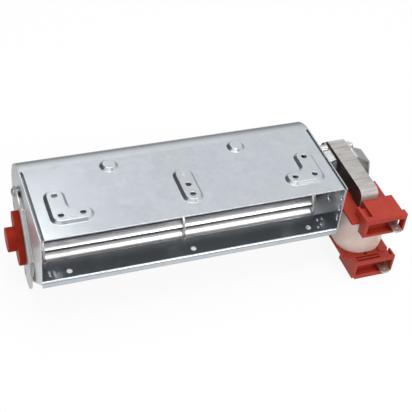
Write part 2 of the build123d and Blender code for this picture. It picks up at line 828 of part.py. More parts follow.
def make_bracket(face_x, seat_x_value, knee_x, knee_rise, side):
    """Bearing bracket: strap over the rotor with a domed seat, two bent legs and wide feet."""
    half = side * bracket_sheet / 2
    foot = face_x + half
    rises = ((foot, bracket_foot_rise), (foot, bracket_leg_rise), (knee_x, knee_rise),
             (seat_x_value + half, bracket_seat_rise))
    corners = [(x, axis_z + rise) for x, rise in rises]
    corners += [(x, axis_z - rise) for x, rise in reversed(rises)]
    section = folded(corners, bracket_bend_radius, bracket_sheet)
    body = along_y(section, axis_y - bracket_eye_radius, axis_y + bracket_eye_radius)
    eye = Circle(bracket_eye_radius)
    legs = Rectangle(bracket_leg_width, 2 * bracket_leg_rise + 2 * bracket_sheet)
    outline = Pos(axis_y, axis_z) * make_hull(eye.edges() + legs.edges())
    body &= along_x(outline, *sorted((face_x, seat_x_value + 2 * side * bracket_sheet)))
    near, far = sorted((face_x, face_x + side * bracket_sheet))
    for turn in (-1, 1):
        rises = sorted((turn * bracket_foot_rise, turn * (bracket_leg_rise - bracket_sheet)))
        edge = axis_y + bracket_foot_edge
        body += bar(near, far, axis_y, edge, axis_z + rises[0], axis_z + rises[1])
        body -= rod_x(bolt_radius + bolt_clearance, near, far, bolt_y, axis_z + turn * bolt_rise)
    shell = ball_radius + bracket_sheet
    dome = Pos(seat_x_value, axis_y, axis_z) * Sphere(shell)
    reach = sorted((seat_x_value, seat_x_value + side * shell))
    body += dome & rod_x(2 * shell, *reach)
    body -= Pos(seat_x_value, axis_y, axis_z) * Sphere(ball_radius)
    body -= rod_x(dome_opening_radius, *reach)
    return body


def make_ball_bearing(centre_x):
    """Self-aligning plain bearing: a ball with flat ends and a bore for the shaft."""
    bore = shaft_radius + running_clearance
    end_radius = (ball_radius ** 2 - ball_half_length ** 2) ** 0.5
    left = (centre_x - ball_half_length, end_radius)
    right = (centre_x + ball_half_length, end_radius)
    crown = ThreePointArc(left, (centre_x, ball_radius), right)
    bore_line = Polyline(right, (right[0], bore), (left[0], bore), left)
    return turned(make_face([crown, bore_line]))


def make_ball_clip(centre_x, side):
    """Conical spring clip that holds the ball in its seat."""
    middle = clip_sheet / 2
    start = centre_x - side * middle
    end = centre_x - side * (middle + clip_height)
    corners = [(start, clip_radius), (start, clip_shoulder), (end, clip_mouth)]
    return turned(folded(corners, clip_sheet, clip_sheet))


def make_motor_bolts():
    """Two long bolts from inside the right plate through the core."""
    bolts = []
    end = core_end_x + bracket_sheet + nut_height + bolt_spare
    for rise in (-bolt_rise, bolt_rise):
        bolt = rod_x(bolt_radius, right_x, end, bolt_y, axis_z + rise)
        bolt += rod_x(bolt_head_radius, right_x - bolt_head_height, right_x, bolt_y, axis_z + rise)
        bolts.append(bolt)
    return Compound(children=bolts)


def make_motor_nuts():
    """Hexagon nuts on the outer bracket."""
    nuts = []
    start = core_end_x + bracket_sheet
    face = RegularPolygon(nut_width / 2, 6, major_radius=False) - Circle(bolt_radius)
    for rise in (-bolt_rise, bolt_rise):
        nuts.append(along_x(Pos(bolt_y, axis_z + rise) * face, start, start + nut_height))
    return Compound(children=nuts)


def make_motor_spacers():
    """Spacer tubes between the right plate and the inner bracket."""
    bore = bolt_radius + bolt_clearance
    tubes = []
    end = core_x - bracket_sheet
    for rise in (-bolt_rise, bolt_rise):
        tubes.append(tube_x(spacer_radius, bore, plate_right_face, end, bolt_y, axis_z + rise))
    return Compound(children=tubes)


upper_pocket, lower_pocket = pocket_lows()
inner_knee_x = core_x - inner_knee_reach
outer_knee_x = core_end_x + outer_knee_reach
clips = [make_ball_clip(inner_seat_x, -1), make_ball_clip(outer_seat_x, 1)]
nodes = {
    "scroll_housing": make_scroll_housing(),
    "outlet_floor": make_outlet_floor(),
    "left_end_plate": make_left_end_plate(),
    "right_end_plate": make_right_end_plate(),
    "bearing_bridge": make_bearing_bridge(),
    "bridge_rivets": make_bridge_rivets(),
    "bearing_holder": make_bearing_holder(),
    "left_bush": make_left_bush(),
    "impeller": make_impeller(),
    "left_stub_shaft": make_left_stub_shaft(),
    "drive_hub": make_drive_hub(),
    "rotor_shaft": make_rotor_shaft(),
    "rotor_core": make_rotor_core(),
    "rotor_cage": make_rotor_cage(),
    "rotor_sleeves": make_rotor_sleeves(),
    "stator_stack": make_stator_stack(),
    "coil_core": make_coil_core(),
    "shading_rings": make_shading_rings(),
    "bobbin": make_bobbin(),
    "coil_winding": make_coil_winding(),
    "coil_tape": make_coil_tape(),
    "upper_terminal": make_spade(upper_pocket + spade_height),
    "lower_terminal": make_spade(lower_pocket + spade_height),
    "inner_bracket": make_bracket(core_x, inner_seat_x, inner_knee_x, inner_knee_rise, -1),
    "outer_bracket": make_bracket(core_end_x, outer_seat_x, outer_knee_x, outer_knee_rise, 1),
    "inner_ball_bearing": make_ball_bearing(inner_seat_x),
    "outer_ball_bearing": make_ball_bearing(outer_seat_x),
    "ball_clips": Compound(children=clips),
    "motor_bolts": make_motor_bolts(),
    "motor_nuts": make_motor_nuts(),
    "motor_spacers": make_motor_spacers(),
}

os.makedirs("parts", exist_ok=True)
for name, shape in nodes.items():
    export_step(shape, f"parts/{name}.step")
    print(name)
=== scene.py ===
import json

import bmesh
import bpy
import numpy as np
from mathutils import Matrix, Vector


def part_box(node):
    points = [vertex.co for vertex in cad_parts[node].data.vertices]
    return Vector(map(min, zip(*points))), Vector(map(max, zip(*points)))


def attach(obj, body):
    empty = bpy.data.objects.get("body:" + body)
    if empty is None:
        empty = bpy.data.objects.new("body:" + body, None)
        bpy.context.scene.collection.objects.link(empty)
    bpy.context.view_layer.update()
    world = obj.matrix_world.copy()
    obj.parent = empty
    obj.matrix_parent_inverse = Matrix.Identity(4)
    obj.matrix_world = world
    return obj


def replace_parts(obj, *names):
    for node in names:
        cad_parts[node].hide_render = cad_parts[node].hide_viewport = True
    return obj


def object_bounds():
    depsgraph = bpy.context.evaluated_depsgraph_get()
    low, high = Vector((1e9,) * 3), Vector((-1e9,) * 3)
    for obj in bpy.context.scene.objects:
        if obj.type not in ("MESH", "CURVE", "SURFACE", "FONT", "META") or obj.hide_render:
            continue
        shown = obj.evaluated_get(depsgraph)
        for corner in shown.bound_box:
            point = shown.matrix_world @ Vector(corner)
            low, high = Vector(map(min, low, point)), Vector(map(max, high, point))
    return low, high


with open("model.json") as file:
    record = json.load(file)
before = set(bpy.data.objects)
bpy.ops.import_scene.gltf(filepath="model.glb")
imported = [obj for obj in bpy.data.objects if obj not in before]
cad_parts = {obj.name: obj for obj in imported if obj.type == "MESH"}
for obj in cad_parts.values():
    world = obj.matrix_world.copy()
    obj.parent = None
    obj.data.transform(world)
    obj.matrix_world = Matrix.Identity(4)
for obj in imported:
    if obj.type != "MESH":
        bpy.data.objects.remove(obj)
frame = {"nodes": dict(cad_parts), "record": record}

# Cross flow fan: finishes for its nodes, and the pressed, turned and wound trim on them.
# The scene and its materials are in metres, and the trim's own values are in millimetres

nodes = frame["nodes"]
frameLow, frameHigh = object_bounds()
milli = 0.001
weld = 1e-6  # points of a new piece that lie closer than this are one


# Camera and lamps

view = {"place": (-0.1756, -0.4253, 0.3990), "target": (0.0054, -0.0184, -0.0031),
        "roll": 6.99, "lens": 85.6, "sensor": 36.0, "clip": (0.01, 10)}

softboxes = {
    "overhead": {"place": (0.06, -0.06, 0.9), "target": (0, 0, -0.03),
                 "size": (0.8, 0.8), "power": 5.2},
    "front": {"place": (0.38, -0.79, 0.57), "target": (0, -0.02, -0.04),
              "size": (0.6, 0.22), "power": 3.0},
    "back": {"place": (-0.01, 0.67, 0.80), "target": (-0.1, -0.04, 0),
             "size": (0.12, 0.10), "power": 0.28},
}


# Matrix that stands at a place, looks along -Z at a target and turns by roll degrees
def aimAt(place, target, roll=0.0):
    ahead = (Vector(target) - Vector(place)).normalized()
    turn = ahead.to_track_quat("-Z", "Y").to_matrix().to_4x4()
    return Matrix.Translation(place) @ turn @ Matrix.Rotation(np.radians(roll), 4, "Z")


def linkObject(name, data):
    thing = bpy.data.objects.new(name, data)
    bpy.context.collection.objects.link(thing)
    return thing


def makeCamera(values):
    data = bpy.data.cameras.new("camera")
    data.lens = values["lens"]
    data.sensor_width = values["sensor"]
    data.clip_start, data.clip_end = values["clip"]
    camera = linkObject("camera", data)
    camera.matrix_world = aimAt(values["place"], values["target"], values["roll"])
    bpy.context.scene.camera = camera


def makeSoftbox(name, values):
    data = bpy.data.lights.new(name, "AREA")
    data.shape = "RECTANGLE"
    data.size, data.size_y = values["size"]
    data.energy = values["power"]
    linkObject(name, data).matrix_world = aimAt(values["place"], values["target"])


makeCamera(view)
for name, values in softboxes.items():
    makeSoftbox(name, values)
bpy.context.scene.view_settings.view_transform = "Standard"
print("camera and lamps")


# Shader helpers

noiseLow, noiseHigh = 0.3, 0.7  # most of a noise texture's values lie between these


# Fill a node's sockets with values or links
def fillSockets(tree, node, inputs):
    for key, value in (inputs or {}).items():
        if isinstance(value, bpy.types.NodeSocket):
            tree.links.new(value, node.inputs[key])
        else:
            node.inputs[key].default_value = value


def addNode(tree, kind, inputs=None, **settings):
    node = tree.nodes.new("ShaderNode" + kind)
    for key, value in settings.items():
        setattr(node, key, value)
    fillSockets(tree, node, inputs)
    return node


def mathNode(tree, operation, first, second=0.5, clamp=False):
    sockets = {0: first, 1: second}
    return addNode(tree, "Math", sockets, operation=operation, use_clamp=clamp).outputs[0]


def vectorNode(tree, operation, *vectors):
    return addNode(tree, "VectorMath", dict(enumerate(vectors)), operation=operation).outputs


def mixColour(tree, mask, first, second):
    sockets = {"Fac": mask, "Color1": first, "Color2": second}
    return addNode(tree, "MixRGB", sockets).outputs[0]


# Carry a value from one range to another, held at both ends
def spread(tree, value, low, high, fromLow=noiseLow, fromHigh=noiseHigh):
    sockets = {"Value": value, "From Min": fromLow, "From Max": fromHigh,
               "To Min": low, "To Max": high}
    return addNode(tree, "MapRange", sockets).outputs[0]


# Colour ramp between two colours, from one place to another
def blend(tree, value, first, second, places=(noiseLow, noiseHigh)):
    ramp = addNode(tree, "ValToRGB", {"Fac": value})
    for element, position, tone in zip(ramp.color_ramp.elements, places, (first, second)):
        element.position = position
        element.color = tone
    return ramp.outputs["Color"]


def noise(tree, vector, scale, detail=3.0, roughness=0.5):
    sockets = {"Vector": vector, "Scale": scale, "Detail": detail, "Roughness": roughness}
    return addNode(tree, "TexNoise", sockets).outputs["Fac"]


def startMaterial(name):
    material = bpy.data.materials.new(name)
    material.use_nodes = True
    tree = material.node_tree
    tree.nodes.clear()
    shader = addNode(tree, "BsdfPrincipled")
    addNode(tree, "OutputMaterial", {"Surface": shader.outputs[0]})
    place = addNode(tree, "TexCoord").outputs["Object"]
    return material, tree, shader, place


def startGroup(name, inputs, outputs):
    tree = bpy.data.node_groups.new(name, "ShaderNodeTree")
    for label, kind, value in inputs:
        socket = tree.interface.new_socket(label, in_out="INPUT", socket_type="NodeSocket" + kind)
        if value is not None:
            socket.default_value = value
    for label, kind in outputs:
        tree.interface.new_socket(label, in_out="OUTPUT", socket_type="NodeSocket" + kind)
    start = tree.nodes.new("NodeGroupInput").outputs
    end = tree.nodes.new("NodeGroupOutput").inputs
    return tree, start, end


def placeGroup(tree, group, inputs):
    node = tree.nodes.new("ShaderNodeGroup")
    node.node_tree = group
    fillSockets(tree, node, inputs)
    return node.outputs


# Shared effects

crystals = {"warpScale": 240.0, "warpDetail": 2.0, "warpShare": 0.004, "finer": 2.6,
            "smudge": (22.0, 5.0, 0.6)}


# Zinc crystals: two Voronoi patterns on a slightly bent vector give each crystal a tone,
# and a wide noise gives the smudges in the gloss
def makeSpangleGroup(values):
    tree, start, end = startGroup("spangle", [("Vector", "Vector", None),
                                              ("Scale", "Float", 150.0), ("Depth", "Float", 0.5)],
                                  [("Tone", "Float"), ("Smudge", "Float")])
    warp = addNode(tree, "TexNoise", {"Vector": start["Vector"], "Scale": values["warpScale"],
                                      "Detail": values["warpDetail"]})
    bent = mixColour(tree, values["warpShare"], start["Vector"], warp.outputs["Color"])
    tones = []
    for scale in (start["Scale"], mathNode(tree, "MULTIPLY", start["Scale"], values["finer"])):
        cells = addNode(tree, "TexVoronoi", {"Vector": bent, "Scale": scale})
        tones.append(addNode(tree, "RGBToBW", {"Color": cells.outputs["Color"]}).outputs[0])
    centred = mathNode(tree, "SUBTRACT", mathNode(tree, "ADD", *tones), 1.0)
    deep = mathNode(tree, "MULTIPLY", centred, start["Depth"])
    tree.links.new(mathNode(tree, "ADD", deep, 0.5, clamp=True), end["Tone"])
    tree.links.new(noise(tree, start["Vector"], *values["smudge"]), end["Smudge"])
    return tree


# Fine bump: stretched noise makes a brushed or pebbled surface normal
def makeGrainGroup(depth=0.0001):
    tree, start, end = startGroup("grain", [("Vector", "Vector", None), ("Scale", "Float", 900.0),
                                            ("Strength", "Float", 0.2),
                                            ("Stretch", "Vector", (1.0, 1.0, 1.0)),
                                            ("Normal", "Vector", None)],
                                  [("Normal", "Vector"), ("Height", "Float")])
    drawn = vectorNode(tree, "MULTIPLY", start["Vector"], start["Stretch"])[0]
    height = noise(tree, drawn, start["Scale"])
    bump = addNode(tree, "Bump", {"Height": height, "Strength": start["Strength"],
                                  "Distance": depth, "Normal": start["Normal"]})
    tree.links.new(bump.outputs[0], end["Normal"])
    tree.links.new(height, end["Height"])
    return tree


# Flat and turned are cosines between the bevelled normal and the face's own
edgeBand = {"flat": 0.99, "turned": 0.85, "samples": 6}


# Softened edges: the bevelled normal, and a mask that grows as it turns away, where the sheet and
# plastic finishes lay a painted highlight
def makeEdgeGroup(values):
    tree, start, end = startGroup("softEdge", [("Radius", "Float", 0.0003)],
                                  [("Normal", "Vector"), ("Mask", "Float")])
    bevel = addNode(tree, "Bevel", {"Radius": start["Radius"]}, samples=values["samples"])
    own = addNode(tree, "NewGeometry").outputs["Normal"]
    along = vectorNode(tree, "DOT_PRODUCT", bevel.outputs[0], own)["Value"]
    mask = spread(tree, along, 0.0, 1.0, values["flat"], values["turned"])
    tree.links.new(bevel.outputs[0], end["Normal"])
    tree.links.new(mask, end["Mask"])
    return tree


spangleGroup = makeSpangleGroup(crystals)
grainGroup = makeGrainGroup()
edgeGroup = makeEdgeGroup(edgeBand)


# Finishes. Roughness is a range, over which the clouds or smudges of the surface move it

# Edge is the colour of a painted highlight laid along the softened edges of the sheet
sheetFinishes = {
    "galvanised": {"dark": (0.465, 0.50, 0.53, 1), "light": (0.565, 0.60, 0.635, 1),
                   "edge": (0.74, 0.76, 0.78, 1), "metallic": 0.90, "roughness": (0.20, 0.28),
                   "spangle": 120.0, "depth": 0.34, "edgeRadius": 0.0004},
    # The left end plate is the same galvanised sheet made paler: painted light on that plate
    "litGalvanisedPlate": {"dark": (0.62, 0.63, 0.64, 1), "light": (0.73, 0.74, 0.75, 1),
                    "edge": (0.80, 0.81, 0.81, 1), "metallic": 0.93, "roughness": (0.26, 0.36),
                    "spangle": 120.0, "depth": 0.30, "edgeRadius": 0.0004},
}
sheetGrain = {"scale": 700.0, "bump": 0.02}

metalFinishes = {
    "zincPlate": {"dark": (0.52, 0.52, 0.515, 1), "light": (0.62, 0.62, 0.61, 1),
                  "roughness": (0.34, 0.44), "stretch": (1, 1, 1), "scale": 300, "bump": 0.04},
    "groundSteel": {"dark": (0.50, 0.50, 0.51, 1), "light": (0.62, 0.62, 0.63, 1),
                    "roughness": (0.16, 0.28), "stretch": (12, 1, 1), "scale": 900, "bump": 0.06},
    "springSteel": {"dark": (0.20, 0.21, 0.24, 1), "light": (0.34, 0.35, 0.38, 1),
                    "roughness": (0.25, 0.38), "stretch": (1, 1, 1), "scale": 500, "bump": 0.08},
    "tinPlate": {"dark": (0.56, 0.53, 0.49, 1), "light": (0.68, 0.65, 0.61, 1),
                 "roughness": (0.34, 0.46), "stretch": (1, 4, 1), "scale": 300, "bump": 0.04},
    "wheelSheet": {"dark": (0.69, 0.675, 0.67, 1), "light": (0.81, 0.80, 0.795, 1),
                   "roughness": (0.26, 0.34), "stretch": (0.03, 1, 1), "scale": 900, "bump": 0.06},
    "castCage": {"dark": (0.50, 0.50, 0.50, 1), "light": (0.66, 0.66, 0.66, 1),
                 "roughness": (0.40, 0.60), "stretch": (1, 1, 1), "scale": 700, "bump": 0.30},
    "sinteredBronze": {"dark": (0.34, 0.22, 0.10, 1), "light": (0.55, 0.38, 0.19, 1),
                       "roughness": (0.38, 0.55), "stretch": (1, 1, 1), "scale": 1400,
                       "bump": 0.25},
    "copperWire": {"dark": (0.55, 0.22, 0.10, 1), "light": (0.78, 0.38, 0.20, 1),
                   "roughness": (0.18, 0.30), "stretch": (1, 1, 1), "scale": 500, "bump": 0.06},
}
metalSkin = {"edgeRadius": 0.0003, "cloud": (60.0, 4.0)}

laminationFinish = {"edgeTone": (0.49, 0.47, 0.45, 1), "edgeDark": (0.33, 0.31, 0.295, 1),
                    "faceTone": (0.022, 0.017, 0.016, 1), "faceLight": (0.050, 0.040, 0.036, 1),
                    "edgeNoise": (420.0, 2.0), "edgePlaces": (0.3, 0.65), "stretch": (0.12, 1, 1),
                    "faceNoise": (70.0, 5.0), "facePlaces": (0.3, 0.75), "facing": (0.5, 0.9),
                    "sheetPitch": 0.0005, "lineBump": 0.12, "lineDepth": 0.00006,
                    "metallic": 0.45, "roughness": 0.44, "specular": 0.3}

plasticFinishes = {
    "redMoulding": {"tone": (0.35, 0.026, 0.014, 1), "light": (0.43, 0.042, 0.022, 1),
                    "roughness": (0.40, 0.50), "bump": 0.08, "edgeRadius": 0.0006,
                    "specular": 0.30},
    "redHolder": {"tone": (0.35, 0.024, 0.012, 1), "light": (0.42, 0.036, 0.018, 1),
                  "roughness": (0.30, 0.42), "bump": 0.06, "edgeRadius": 0.0009,
                  "specular": 0.02},
    "blackMoulding": {"tone": (0.014, 0.014, 0.015, 1), "light": (0.030, 0.030, 0.032, 1),
                      "roughness": (0.40, 0.52), "bump": 0.12, "edgeRadius": 0.0004,
                      "specular": 0.4},
}
plasticSkin = {"grain": 1600.0, "cloud": (120.0, 4.0)}

tapeFinish = {"tone": (0.62, 0.46, 0.40, 1), "light": (0.80, 0.66, 0.60, 1),
              "roughness": (0.26, 0.38), "cloud": (45.0, 4.0, 0.55),
              "scale": 350.0, "stretch": (1, 1, 6), "bump": 0.10}


# Galvanised sheet: crystal tones, smudged gloss and a painted highlight as paler edges
def makeSheetMaterial(name, values):
    material, tree, shader, place = startMaterial(name)
    spangle = placeGroup(tree, spangleGroup, {"Vector": place, "Scale": values["spangle"],
                                              "Depth": values["depth"]})
    edge = placeGroup(tree, edgeGroup, {"Radius": values["edgeRadius"]})
    tone = blend(tree, spangle["Tone"], values["dark"], values["light"], (0.0, 1.0))
    grain = placeGroup(tree, grainGroup, {"Vector": place, "Scale": sheetGrain["scale"],
                                          "Strength": sheetGrain["bump"],
                                          "Normal": edge["Normal"]})
    # Base colour turns to the edge colour over the mask: a painted highlight on the edges
    fillSockets(tree, shader, {
        "Base Color": mixColour(tree, edge["Mask"], tone, values["edge"]),
        "Roughness": spread(tree, spangle["Smudge"], *values["roughness"]),
        "Normal": grain["Normal"], "Metallic": values["metallic"]})
    return material


# Plain metal: noise varies its tone and gloss, and the grain follows the stretch
def makeMetalMaterial(name, values):
    material, tree, shader, place = startMaterial(name)
    edge = placeGroup(tree, edgeGroup, {"Radius": metalSkin["edgeRadius"]})
    grain = placeGroup(tree, grainGroup, {"Vector": place, "Scale": float(values["scale"]),
                                          "Strength": values["bump"],
                                          "Stretch": values["stretch"],
                                          "Normal": edge["Normal"]})
    cloud = noise(tree, place, *metalSkin["cloud"])
    fillSockets(tree, shader, {
        "Base Color": blend(tree, grain["Height"], values["dark"], values["light"]),
        "Roughness": spread(tree, cloud, *values["roughness"]),
        "Normal": grain["Normal"], "Metallic": 1.0})
    return material


# Punched stack: near-black faces across X, pale sheet edges with fine lines round it
def makeLaminationMaterial(name, values):
    material, tree, shader, place = startMaterial(name)
    along = addNode(tree, "SeparateXYZ", {"Vector": place}).outputs["X"]
    lines = mathNode(tree, "SINE", mathNode(tree, "MULTIPLY", along,
                                            2 * np.pi / values["sheetPitch"]))
    normal = addNode(tree, "NewGeometry").outputs["Normal"]
    facing = addNode(tree, "SeparateXYZ", {"Vector": normal}).outputs["X"]
    isFace = spread(tree, mathNode(tree, "ABSOLUTE", facing), 0.0, 1.0, *values["facing"])
    stretched = vectorNode(tree, "MULTIPLY", place, values["stretch"])[0]
    pale = blend(tree, noise(tree, stretched, *values["edgeNoise"]),
                 values["edgeDark"], values["edgeTone"], values["edgePlaces"])
    faceColour = blend(tree, noise(tree, place, *values["faceNoise"]),
                    values["faceTone"], values["faceLight"], values["facePlaces"])
    bump = addNode(tree, "Bump", {"Height": lines, "Strength": values["lineBump"],
                                  "Distance": values["lineDepth"]})
    fillSockets(tree, shader, {
        "Base Color": mixColour(tree, isFace, pale, faceColour), "Normal": bump.outputs[0],
        "Metallic": mathNode(tree, "SUBTRACT", values["metallic"], isFace, clamp=True),
        "Roughness": values["roughness"], "Specular IOR Level": values["specular"]})
    return material


# Moulded plastic: soft mottling, a painted highlight as paler edges, and a pebbled skin
def makePlasticMaterial(name, values):
    material, tree, shader, place = startMaterial(name)
    edge = placeGroup(tree, edgeGroup, {"Radius": values["edgeRadius"]})
    grain = placeGroup(tree, grainGroup, {"Vector": place, "Scale": plasticSkin["grain"],
                                          "Strength": values["bump"], "Normal": edge["Normal"]})
    cloud = noise(tree, place, *plasticSkin["cloud"])
    tone = blend(tree, cloud, values["tone"], values["light"])
    # Base colour turns to the light tone over the edge mask: a painted highlight on the edges
    fillSockets(tree, shader, {
        "Base Color": mixColour(tree, edge["Mask"], tone, values["light"]),
        "Roughness": spread(tree, cloud, *values["roughness"]),
        "Normal": grain["Normal"], "Specular IOR Level": values["specular"]})
    return material


# Semi-matt film tape with a cloudy tone where the winding shows through
def makeTapeMaterial(name, values):
    material, tree, shader, place = startMaterial(name)
    cloud = noise(tree, place, *values["cloud"])
    grain = placeGroup(tree, grainGroup, {"Vector": place, "Scale": values["scale"],
                                          "Strength": values["bump"],
                                          "Stretch": values["stretch"]})
    fillSockets(tree, shader, {
        "Base Color": blend(tree, cloud, values["tone"], values["light"]),
        "Roughness": spread(tree, cloud, *values["roughness"]), "Normal": grain["Normal"]})
    return material


materials = {"lamination": makeLaminationMaterial("lamination", laminationFinish),
             "coilTape": makeTapeMaterial("coilTape", tapeFinish)}
for finishes, make in ((sheetFinishes, makeSheetMaterial), (metalFinishes, makeMetalMaterial),
                       (plasticFinishes, makePlasticMaterial)):
    for finish, values in finishes.items():
        materials[finish] = make(finish, values)

nodeFinishes = {
    "galvanised": ["scroll_housing", "outlet_floor", "right_end_plate"],
    "litGalvanisedPlate": ["left_end_plate"],
    "zincPlate": ["bearing_bridge", "bridge_rivets", "inner_bracket", "outer_bracket",
                  "motor_bolts", "motor_nuts", "motor_spacers"],
    "groundSteel": ["left_stub_shaft", "rotor_shaft", "rotor_sleeves"],
    "springSteel": ["ball_clips"],
    "tinPlate": ["upper_terminal", "lower_terminal"],
    "wheelSheet": ["impeller"],
    "castCage": ["rotor_cage"],
    "sinteredBronze": ["left_bush", "inner_ball_bearing", "outer_ball_bearing"],
    "copperWire": ["shading_rings", "coil_winding"],
    "lamination": ["stator_stack", "coil_core", "rotor_core"],
    "redMoulding": ["bobbin"],
    "redHolder": ["bearing_holder"],
    "blackMoulding": ["drive_hub"],
    "coilTape": ["coil_tape"],
}
for finish, names in nodeFinishes.items():
    for name in names:
        mesh = nodes[name].data
        mesh.materials.clear()
        mesh.materials.append(materials[finish])
print("finishes on the nodes")


# Surfaces worked out on grids

# Quads between neighbouring points of a grid, closed round its columns where asked
def quadsOf(rows, columns, closed, first):
    row = np.arange(rows - 1)[:, None]
    column = np.arange(columns if closed else columns - 1)[None, :]
    nextColumn = (column + 1) % columns
    corners = (row * columns + column, row * columns + nextColumn,
               (row + 1) * columns + nextColumn, (row + 1) * columns + column)
    return np.stack([corner + first for corner in corners], axis=-1).reshape(-1, 4)


# Doubles merged within a distance, in metres, and the faces turned outwards where asked
def mergeDoubles(mesh, distance, outwards):
    solid = bmesh.new()
    solid.from_mesh(mesh)
    bmesh.ops.remove_doubles(solid, verts=solid.verts, dist=distance)
    if outwards:
        bmesh.ops.recalc_face_normals(solid, faces=solid.faces)
    solid.to_mesh(mesh)
    solid.free()


# Smooth shading, apart from the edges that bend by more than the angle, in degrees
def shadeSmooth(mesh, sharp):
    mesh.polygons.foreach_set("use_smooth", np.ones(len(mesh.polygons), dtype=bool))
    mesh.set_sharp_from_angle(angle=np.radians(sharp))


# One piece of the housing from several grids of points
def makePiece(name, grids, finish, closed=True, sharp=35.0):
    points = []
    quads = []
    count = 0
    for grid in grids:
        rows, columns = grid.shape[:2]
        points.append(grid.reshape(-1, 3))
        quads.append(quadsOf(rows, columns, closed, count))
        count += rows * columns
    mesh = bpy.data.meshes.new(name)
    mesh.from_pydata(np.concatenate(points).tolist(), [], np.concatenate(quads).tolist())
    mergeDoubles(mesh, weld, outwards=True)
    shadeSmooth(mesh, sharp)
    mesh.materials.append(materials[finish])
    piece = linkObject(name, mesh)
    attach(piece, "housing")
    return piece


def addWall(piece, thickness, offset):
    wall = piece.modifiers.new("wall", "SOLIDIFY")
    wall.thickness = thickness * milli
    wall.offset = offset


# Each (along, radius) point of a profile is carried round an axis through the centre:
# centre + along * axis + radius * (cos * side + sin * other side), with both sides square to it
def turnProfile(profile, centre, axis, steps):
    profile = np.array(profile)
    ahead = np.array(axis, dtype=float)
    side = np.cross(ahead, (0, 0, 1) if abs(ahead[2]) < 0.5 else (1, 0, 0))
    side /= np.linalg.norm(side)
    other = np.cross(ahead, side)
    angle = np.linspace(0, 2 * np.pi, steps, endpoint=False)
    ring = np.cos(angle)[:, None] * side + np.sin(angle)[:, None] * other
    return np.array(centre) + profile[:, None, :1] * ahead + profile[:, None, 1:] * ring


# Marks pressed in the sheet: the joints that hold the plate tabs under the outlet floor, and
# a faint punch mark on the oval pad. Ring and button places are shares of the radius
clinch = {"places": [(-92.2, -17.5), (-92.2, -20.1), (-89.2, -20.4), (-89.2, -17.9),
                     (92.3, -13.5), (88.7, -14.1), (89.7, -18.3), (86.5, -20.5)],
          "radius": 1.15, "button": 0.16, "buttonReach": 0.35,
          "ring": 0.35, "ringPlace": 0.68, "ringWidth": 0.14, "sunk": 0.1,
          "points": 12, "steps": 20}

padMark = {"places": [(0, 10.5)],
           "radius": 1.5, "button": 0, "buttonReach": 0,
           "ring": 0.12, "ringPlace": 0.72, "ringWidth": 0.16, "sunk": 0.1,
           "points": 14, "steps": 28}


# Each mark is turned about Z. Its height is a flat button, plus a ring round it of
# height * exp(-((reach - place) / width) squared), and its rim is sunk in the sheet
def makeMarks(name, carrier, values):
    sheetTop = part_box(carrier)[1][2]
    reach = np.linspace(0, 1, values["points"])
    away = (reach - values["ringPlace"]) / values["ringWidth"]
    rise = (values["button"] * (reach < values["buttonReach"])
            + values["ring"] * np.exp(-away ** 2))
    rise[-1] = -values["sunk"]
    profile = np.column_stack([rise, reach * values["radius"]]) * milli
    grids = [turnProfile(profile, (x * milli, y * milli, sheetTop), (0, 0, 1), values["steps"])
             for x, y in values["places"]]
    makePiece(name, grids, "galvanised")


makeMarks("clinch_marks", "outlet_floor", clinch)
makeMarks("pad_mark", "scroll_housing", padMark)
print("pressed marks")


# Nodes with rolled, dished or curved faces, each with its slot, that are shown as smooth copies
smoothNodes = {"scroll_housing": "galvanised_sheet", "outlet_floor": "galvanised_sheet",
               "left_end_plate": "galvanised_sheet", "impeller": "wheel_aluminium",
               "bearing_bridge": "zinc_steel", "bearing_holder": "red_plastic",
               "inner_bracket": "zinc_steel", "outer_bracket": "zinc_steel",
               "stator_stack": "lamination_steel"}
smoothing = {"doubles": 2e-6, "sharp": 24}


def bodyOf(node):
    for body, members in frame["record"]["behaviour"]["bodies"].items():
        if node in members:
            return body


# A copy of a node's mesh with the same points: doubles merged, normals weighted by face area
def makeSmoothCopy(node, values):
    mesh = nodes[node].data.copy()
    if "custom_normal" in mesh.attributes:
        mesh.attributes.remove(mesh.attributes["custom_normal"])
    mergeDoubles(mesh, values["doubles"], outwards=False)
    shadeSmooth(mesh, values["sharp"])
    piece = linkObject(node + "_smooth", mesh)
    weigh = piece.modifiers.new("weighNormals", "WEIGHTED_NORMAL")
    weigh.keep_sharp = True
    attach(piece, bodyOf(node))
    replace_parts(piece, node)


for node, slot in smoothNodes.items():
    makeSmoothCopy(node, smoothing)
print("smooth copies")


# Tape round the coil. Seam is the angle of its free end in radians, and wound the turns that
# it takes up the coil. Each wave has its count round, its shift with height and its start
tape = {"corner": 14.6, "swing": 12, "barrel": 0.28, "ripple": 0.05,
        "waves": ((7, 2.2, 0), (3, -1.3, 1)), "step": 0.16, "seam": 4.2,
        "lap": 0.10, "lapEdge": 0.08, "wound": 2.5, "wall": 0.3, "around": 192, "levels": 60}


